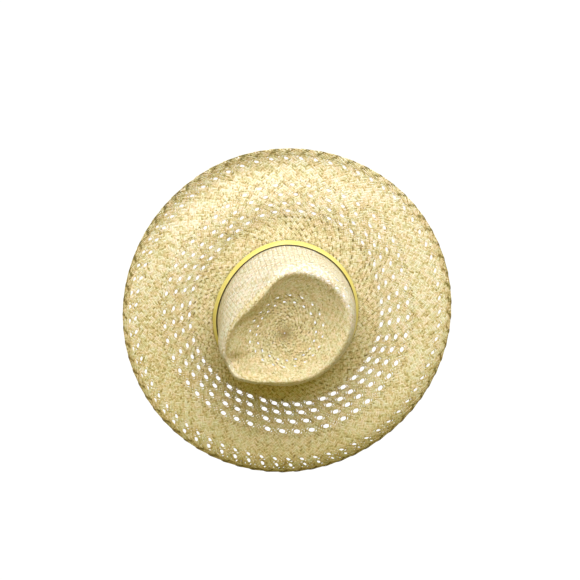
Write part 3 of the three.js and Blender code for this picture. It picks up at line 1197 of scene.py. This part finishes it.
@dataclass
class BrimEdge:
    """The back-woven edge: bundles of strands laid along the rim, each tucked under the next."""

    straw: bpy.types.Material
    seed: int = 12
    bundles: int = 68
    strands: int = 4
    span: float = 2.4  # how many bundles one bundle runs past
    root: float = 210.2  # distance where a bundle leaves the weave
    strand_width: float = 1.7
    samples: int = 26
    rise: float = 1.0  # height of a bundle's beginning over the middle of the straw
    fall: float = 1.1  # depth of its end under it
    bulge: float = 0.6  # how far a bundle swells outwards
    tuck_shade_at: float = 0.95  # bundles along, where a bundle reaches the rim and painted shade darkens it, for the shade where the bundles overlap
    tuck_shade_width: float = 0.11
    # how dark that painted shade is
    tuck_shade_depth: float = 2.2
    rim_painted_shade: float = 0.5  # painted shade: how much darker the outermost strand is, along the shaded rim
    swing: float = 0.42  # share of its length over which a bundle swings out to the rim
    spacing: float = 0.93  # of the strands, against their width
    stagger: float = 0.12  # bundles by which each strand begins after the last
    bulge_at: float = 0.3  # bundles along, where the bulge begins
    step_up: float = 0.15  # how much higher each strand lies than the last
    dip: float = 1.6  # how far a bundle's beginning goes down into the weave
    dip_share: float = 0.12  # of its length
    narrowing: float = 0.25  # how much narrower a bundle's beginning is
    narrow_share: float = 0.2  # of its length
    tone_share: float = 0.8
    half_thickness: float = 0.55

    def route(self, cloth: Cloth, strand: int, share: np.ndarray) -> tuple[np.ndarray, np.ndarray]:
        """Finds the middle lines of one strand of every bundle.

        Args:
            cloth: The brim's form.
            strand: Which strand, 0 being the outermost.
            share: Shares of the strand's length.

        Returns:
            Middle lines and the cloth's normals along them.
        """
        lane = BRIM_RADIUS - self.strand_width * (0.5 + self.spacing * strand) - self.bulge
        begin = np.arange(self.bundles)[:, None] + self.stagger * strand
        index = begin + self.span * share[None, :]
        distance = self.root + (lane - self.root) * eased(np.clip(share / self.swing, 0, 1))
        swell = np.sin(math.pi * np.clip(share * self.span - self.bulge_at, 0, 1))
        distance = np.repeat((distance + self.bulge * swell)[None, :], self.bundles, axis=0)
        centres, normals = cloth.at(index * TURN / self.bundles, distance)
        height = self.rise - (self.rise + self.fall) * share + self.step_up * strand
        height = height - self.dip * np.clip(1 - share / self.dip_share, 0, 1)
        return centres + normals * height[None, :, None], normals

    def build(self, cloth: Cloth) -> None:
        """Builds the edge.

        Args:
            cloth: The brim's form.
        """
        generator = np.random.default_rng(self.seed)
        share = np.linspace(0, 1, self.samples)
        half = self.strand_width / 2 * (1 - self.narrowing * np.clip(1 - share / self.narrow_share, 0, 1))
        half = np.repeat(half[None, :], self.bundles, axis=0)
        # painted shade where the bundles overlap at the rim
        tuck_shade = np.exp(-(((share * self.span - self.tuck_shade_at) / self.tuck_shade_width) ** 2))
        shapes = []
        for strand in range(self.strands):
            centres, normals = self.route(cloth, strand, share)
            tones = generator.random(self.bundles)[:, None] * self.tone_share
            tones = tones - self.tuck_shade_depth * tuck_shade[None, :]
            # painted shade along the rim
            if strand == 0:
                tones = tones - self.rim_painted_shade
            shape = ribbons(centres, normals, half, self.half_thickness, tones)
            shape.unwrap = (shape.unwrap + np.array([0, strand])) / np.array([1, self.strands])
            shapes.append(shape)
        place(joined(shapes), "brim_edge", Finish.STRAW, self.straw, ("brim",))


@dataclass
class Crown:
    """The crown: a rosette, two widening rounds and the wall with its openings."""

    straw: bpy.types.Material
    pale: bpy.types.Material  # the wall's straw: a paler, cooler copy, painted light for the lit wall
    seed: int = 21
    # A pairing is how much darker every second strand is, and the distances over which that fades.
    rosette_start: float = 1.0
    rosette_end: float = 24.0
    rosette_strands: int = 40
    rosette_lift: float = 0.3
    rosette_pairing: tuple[float, tuple[float, float]] = (1.0, (18.0, 40.0))
    dent_end: float = 52.0
    dent_strands: int = 80
    dent_rows: tuple[float, ...] = (38.5, 48.0)
    dent_count: int = 20
    dent_pairing: tuple[float, tuple[float, float]] = (0.7, (40.0, 60.0))
    dent_opening: tuple[float, float] = (2.4, 1.45)  # half sizes along the row and across it
    crest_end: float = 84.0
    crest_strands: int = 144
    wall_strands: int = 180
    wall_rows: tuple[float, ...] = (89.5, 101.0, 113.0)
    wall_count: int = 36
    wall_opening: tuple[float, float] = (4.2, 2.5)
    wall_tensions: tuple[Tension, ...] = (Tension(222, 80, 0.95), Tension(48, 34, 0.55))
    lower_wall: float = 132.0  # where the wall is split into two pieces
    foot: float = 186.0
    overlap: float = 1.0  # how far a round runs on over the start of the next
    tuck: float = 0.6  # how far the first strands of a round go in under the last

    def rows(self, weave: Weave, distances: tuple[float, ...], count: int,
             opening: tuple[float, float], tensions: tuple[Tension, ...] = ()) -> tuple[OpeningRow, ...]:
        """Sets rows of openings out, each staggered against the last.

        Args:
            weave: The weave that they lie in.
            distances: Where the rows lie.
            count: Openings once round.
            opening: Half sizes of an opening, along the row and across it.
            tensions: Where the openings are pulled shut.

        Returns:
            The rows.
        """
        rings = weave.rings()
        found = [ring_at(rings, distance) for distance in distances]
        return tuple(
            OpeningRow(
                ring=ring, count=count, shift=2 * number - ring // 2,
                half_along=opening[0], half_across=opening[1], tensions=tensions,
            )
            for number, ring in enumerate(found)
        )

    def build(self, cloth: Cloth) -> None:
        """Builds the crown's pieces.

        Args:
            cloth: The crown's form.
        """
        generator = np.random.default_rng(self.seed)
        paired, until = self.rosette_pairing
        rosette = Weave(
            cloth, self.rosette_strands, self.rosette_start, self.rosette_end + self.overlap,
            tones=straw_tones(generator, self.rosette_strands), lift=self.rosette_lift,
            paired=paired, paired_until=until,
        )
        self.put("crown_rosette", rosette.shape(), self.straw)
        paired, until = self.dent_pairing
        dent = Weave(
            cloth, self.dent_strands, self.rosette_end, self.dent_end + self.overlap,
            tones=straw_tones(generator, self.dent_strands), tuck=self.tuck,
            paired=paired, paired_until=until,
        )
        dent.openings = self.rows(dent, self.dent_rows, self.dent_count, self.dent_opening)
        self.put("crown_dent", dent.shape(), self.straw)
        crest = Weave(
            cloth, self.crest_strands, self.dent_end, self.crest_end + self.overlap, fineness=1,
            tones=straw_tones(generator, self.crest_strands), tuck=self.tuck,
        )
        self.put("crown_crest", crest.shape(), self.straw)
        wall = Weave(
            cloth, self.wall_strands, self.crest_end, self.foot, fineness=1,
            tones=straw_tones(generator, self.wall_strands), tuck=self.tuck,
        )
        wall.openings = self.rows(
            wall, self.wall_rows, self.wall_count, self.wall_opening, self.wall_tensions
        )
        middle = ring_at(wall.rings(), self.lower_wall)
        # the wall gets the paler copy of the straw: painted light
        self.put("crown_upper_wall", wall.shape(0, middle), self.pale)
        self.put("crown_lower_wall", wall.shape(middle), self.pale)

    def put(self, name: str, shape: Shape, straw: bpy.types.Material) -> None:
        """Puts one woven piece of the crown on the hat."""
        place(shape, name, Finish.STRAW, straw, ("crown",))


@dataclass
class Band:
    """The narrow leather strip round the foot of the crown."""

    leather: bpy.types.Material
    face: float = 8.8
    thickness: float = 1.5
    lean: float = 30.0  # degrees from upright
    clearance: float = 0.45
    columns: int = 288
    corner: float = 0.35  # radius of the worn outer corners
    corner_cut: float = 0.3  # share of that radius left at the middle of a corner
    swell: float = 0.12  # how much thicker the strip is in its middle
    swell_from: float = 0.3  # share of the face at which it has its full swell
    corner_tone: float = 0.6  # how far the middle of a corner belongs to the cut edge

    def section(self) -> tuple[np.ndarray, np.ndarray]:
        """Outline of the strip, as rise along its face and depth away from the crown.

        Returns:
            Points of the outline, and how far each belongs to a cut edge.
        """
        corner = self.corner
        near = self.corner_cut * corner
        full = self.thickness + self.swell
        rise = self.swell_from * self.face
        points = np.array([
            [0.0, 0.0], [0.0, self.thickness - corner], [near, self.thickness - near],
            [corner, self.thickness], [rise, full], [self.face - rise, full],
            [self.face - corner, self.thickness], [self.face - near, self.thickness - near],
            [self.face, self.thickness - corner], [self.face, 0.0],
        ])
        tone = self.corner_tone
        return points, np.array([1, 1, tone, 0, 0, 0, 0, tone, 1, 1], float)

    def build(self) -> None:
        """Builds the strip."""
        lean = math.radians(self.lean)
        out = np.array([math.cos(lean), math.sin(lean)])
        up = np.array([-math.sin(lean), math.cos(lean)])
        foot = np.array([self.face * math.sin(lean) + self.clearance, STRAW + GAP])
        section, cut = self.section()
        profile = foot + section[:, :1] * up + section[:, 1:] * out
        angle = TURN * np.arange(self.columns) / self.columns
        radius = head_radius(angle)[:, None] + profile[None, :, 0]
        points = laid_round(angle, radius, np.broadcast_to(profile[None, :, 1], radius.shape))
        count = len(section)
        ids = np.arange(self.columns * count).reshape(self.columns, count)
        faces = np.stack([
            ids, np.roll(ids, -1, axis=0), np.roll(np.roll(ids, -1, axis=0), -1, axis=1),
            np.roll(ids, -1, axis=1),
        ], axis=-1)
        arc = radius.mean() * np.broadcast_to(angle[:, None], radius.shape)
        rise = np.broadcast_to(section[None, :, 0], radius.shape)
        shape = Shape(
            points=points.reshape(-1, 3),
            faces=faces.reshape(-1, 4),
            numbers={"cut_edge": np.broadcast_to(cut[None, :], radius.shape).reshape(-1)},
            vectors={"grain": np.stack([arc, rise, 0 * rise], axis=-1).reshape(-1, 3)},
        )
        place(shape, "leather_band", Finish.LEATHER, self.leather, ("hat_band",))


# ---- Studio ---------------------------------------------------------------------------------------
def seen_apart(tree: bpy.types.NodeTree, usual: bpy.types.Node, seen: bpy.types.Node, end: str) -> None:
    """Shows the camera one shader and everything else another.

    Args:
        tree: The nodes to lay this out in.
        usual: The shader that light meets.
        seen: The shader that the camera sees.
        end: Name of the output node.
    """
    rays = tree.nodes.new("ShaderNodeLightPath")
    mix = tree.nodes.new("ShaderNodeMixShader")
    tree.links.new(rays.outputs["Is Camera Ray"], mix.inputs[0])
    tree.links.new(usual.outputs[0], mix.inputs[1])
    tree.links.new(seen.outputs[0], mix.inputs[2])
    tree.links.new(mix.outputs[0], tree.nodes[end].inputs[0])


@dataclass(frozen=True)
class Lamp:
    """One soft round lamp that looks at the hat."""

    name: str
    direction: float  # where it hangs, in degrees from +X
    height: float  # metres
    reach: float  # metres from the hat along the floor
    size: float  # metres
    power: float  # watts
    colour: Colour

    def hang(self) -> None:
        """Hangs the lamp."""
        lamp = bpy.data.lights.new(self.name, "AREA")
        lamp.energy = self.power
        lamp.color = self.colour
        lamp.shape = "DISK"
        lamp.size = self.size
        holder = bpy.data.objects.new(self.name, lamp)
        turn = math.radians(self.direction)
        where = Vector((self.reach * math.cos(turn), self.reach * math.sin(turn), self.height))
        holder.location = where
        holder.rotation_euler = (-where).to_track_quat("-Z", "Y").to_euler()
        bpy.context.scene.collection.objects.link(holder)


@dataclass
class Studio:
    """A plain white floor, the light and the camera."""

    tilt: float = 15.0  # degrees of the camera from straight above
    towards: float = 160.0  # direction from +X in which it is tilted
    roll: float = 144.4  # direction from +X that is up in the view
    distance: float = 1600.0
    field_of_view: float = 27.3
    shift: tuple[float, float] = (0.006, 0.0405)
    view_limit: float = 100.0  # metres
    floor_half: float = 6.0  # metres
    floor_colour: Colour = (0.85, 0.85, 0.84)
    floor_roughness: float = 0.9
    floor_drop: float = 0.5  # millimetres under the hat
    glow: float = 1.05  # brightness of the floor and the room as the camera sees them
    room_colour: Colour = (1.0, 0.89, 0.34)
    room_strength: float = 0.41
    key: Lamp = Lamp("key_lamp", 142, 0.66, 0.7, 1.0, 15.0, (0.95, 0.99, 1.3))

    def build(self) -> None:
        """Sets the studio up."""
        self.floor()
        self.key.hang()
        self.room()
        self.camera()

    def floor(self) -> None:
        """Lays the plain floor, which the camera sees as an even white."""
        mesh = bpy.data.meshes.new("floor")
        half = self.floor_half
        mesh.from_pydata(
            [(-half, -half, 0), (half, -half, 0), (half, half, 0), (-half, half, 0)], [], [(0, 1, 2, 3)]
        )
        nodes = Nodes("floor_white")
        nodes.feed(nodes.shader.inputs["Base Color"], (*self.floor_colour, 1))
        nodes.feed(nodes.shader.inputs["Roughness"], self.floor_roughness)
        glow = nodes.add("ShaderNodeEmission", Strength=self.glow, Color=(*WHITE, 1))
        seen_apart(nodes.tree, nodes.shader, glow, "Material Output")
        mesh.materials.append(nodes.material)
        floor = bpy.data.objects.new("floor", mesh)
        floor.location.z = -self.floor_drop * MM
        bpy.context.scene.collection.objects.link(floor)

    def room(self) -> None:
        """Lights the room, which the camera sees as pale."""
        world = bpy.data.worlds.new("studio")
        world.use_nodes = True
        tree = world.node_tree
        back = tree.nodes["Background"]
        back.inputs["Color"].default_value = (*self.room_colour, 1)
        back.inputs["Strength"].default_value = self.room_strength
        wall = tree.nodes.new("ShaderNodeBackground")
        wall.inputs["Strength"].default_value = self.glow
        seen_apart(tree, back, wall, "World Output")
        bpy.context.scene.world = world
        bpy.context.scene.view_settings.view_transform = "Standard"

    def camera(self) -> None:
        """Places the camera."""
        tilt, towards, roll = (math.radians(turn) for turn in (self.tilt, self.towards, self.roll))
        back = Vector((
            math.sin(tilt) * math.cos(towards), math.sin(tilt) * math.sin(towards), math.cos(tilt),
        ))
        up = Vector((math.cos(roll), math.sin(roll), 0))
        up = (up - back * up.dot(back)).normalized()
        right = up.cross(back)
        lens = bpy.data.cameras.new("camera")
        lens.angle = math.radians(self.field_of_view)
        lens.shift_x, lens.shift_y = self.shift
        lens.clip_end = self.view_limit
        camera = bpy.data.objects.new("camera", lens)
        camera.matrix_world = Matrix.Translation(back * self.distance * MM) @ Matrix(
            (right, up, back)
        ).transposed().to_4x4()
        bpy.context.scene.collection.objects.link(camera)
        bpy.context.scene.camera = camera


def main() -> None:
    """Builds the hat and its studio."""
    logging.basicConfig(level=logging.INFO, format="%(message)s")
    Studio().build()
    straw = StrawFinish().material()
    leather = LeatherFinish().material()
    brim_cloth = BrimForm().cloth()
    Brim(straw).build(brim_cloth)
    BrimEdge(straw).build(brim_cloth)
    # painted light: a paler, cooler and plainer copy of the straw for the crown's wall, for its lit look
    pale = StrawFinish(name="lit_wall_straw", tint=(0.98, 1.02, 1.42), contrast=0.6).material()
    Crown(straw, pale).build(CrownForm().cloth())
    Band(leather).build()


if __name__ == "__main__":
    main()
